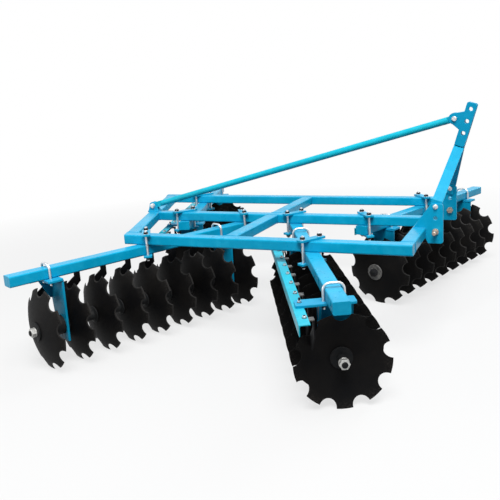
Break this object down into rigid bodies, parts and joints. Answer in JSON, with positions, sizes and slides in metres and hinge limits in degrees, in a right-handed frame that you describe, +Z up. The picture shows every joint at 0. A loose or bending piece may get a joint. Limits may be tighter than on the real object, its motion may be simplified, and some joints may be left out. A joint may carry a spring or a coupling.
{
  "type": "tandem disc harrow",
  "caption": "Mounted tandem disc harrow: tubular frame with a tractor hitch mast, and gangs of notched, dished discs set in an X that turn freely on their axles.",
  "frame": {"origin": "on the ground below the middle of the whole machine", "axes": "+X forward to the tractor, +Y to the machine's left, +Z up"},
  "size_m": [2.7821, 3.2778, 1.3191],
  "materials": {
    "frame_paint": "glossy cyan-blue paint",
    "standard_paint": "glossy blue paint",
    "scraper_paint": "glossy cyan-blue paint, bare at the scrapers' tips",
    "disc_steel": "satin black paint on hardened steel",
    "axle_steel": "dark cast iron with bare steel nuts",
    "zinc": "bright zinc plate"
  },
  "bodies": {
    "frame": {"beam_front": "frame_paint", "beam_rear": "frame_paint", "brace_bolt": "zinc", "brace_bracket": "frame_paint", "clamp_bars_front_left": "frame_paint", "clamp_bars_front_right": "frame_paint", "clamp_bars_rear_left": "frame_paint", "clamp_bars_rear_right": "frame_paint", "fasteners_front_left": "zinc", "fasteners_front_right": "zinc", "fasteners_rear_left": "zinc", "fasteners_rear_right": "zinc", "gang_beam_front_left": "frame_paint", "gang_beam_front_right": "frame_paint", "gang_beam_rear_left": "frame_paint", "gang_beam_rear_right": "frame_paint", "hitch_plate_left": "frame_paint", "hitch_plate_right": "frame_paint", "lower_pin_left": "zinc", "lower_pin_right": "zinc", "mast_cheek_left": "frame_paint", "mast_cheek_right": "frame_paint", "mast_leg_left": "frame_paint", "mast_leg_right": "frame_paint", "mast_pin": "zinc", "member_mid_left": "frame_paint", "member_mid_right": "frame_paint", "rail_centre": "frame_paint", "rail_left": "frame_paint", "rail_right": "frame_paint", "scraper_bar_front_left": "scraper_paint", "scraper_bar_front_right": "scraper_paint", "scraper_bar_rear_left": "scraper_paint", "scraper_bar_rear_right": "scraper_paint", "standards_front_left": "standard_paint", "standards_front_right": "standard_paint", "standards_rear_left": "standard_paint", "standards_rear_right": "standard_paint", "top_brace": "frame_paint"},
    "gang_front_right": {"discs_front_right": "disc_steel", "axle_front_right": "axle_steel"},
    "gang_front_left": {"discs_front_left": "disc_steel", "axle_front_left": "axle_steel"},
    "gang_rear_right": {"discs_rear_right": "disc_steel", "axle_rear_right": "axle_steel"},
    "gang_rear_left": {"discs_rear_left": "disc_steel", "axle_rear_left": "axle_steel"}
  },
  "joints": [
    {"name": "spin_front_right", "type": "hinge", "parent": "frame", "child": "gang_front_right", "pos_m": [0.57057, -0.72333, 0.23], "axis": [0.4555, -0.8902, 0], "continuous": true},
    {"name": "spin_front_left", "type": "hinge", "parent": "frame", "child": "gang_front_left", "pos_m": [0.93482, 0.70048, 0.23], "axis": [0.3272, 0.9449, 0], "continuous": true},
    {"name": "spin_rear_right", "type": "hinge", "parent": "frame", "child": "gang_rear_right", "pos_m": [-0.53961, -0.78919, 0.23], "axis": [-0.4099, -0.9121, 0], "continuous": true},
    {"name": "spin_rear_left", "type": "hinge", "parent": "frame", "child": "gang_rear_left", "pos_m": [-0.94024, 0.83599, 0.23], "axis": [-0.3239, 0.9461, 0], "continuous": true}
  ]
}
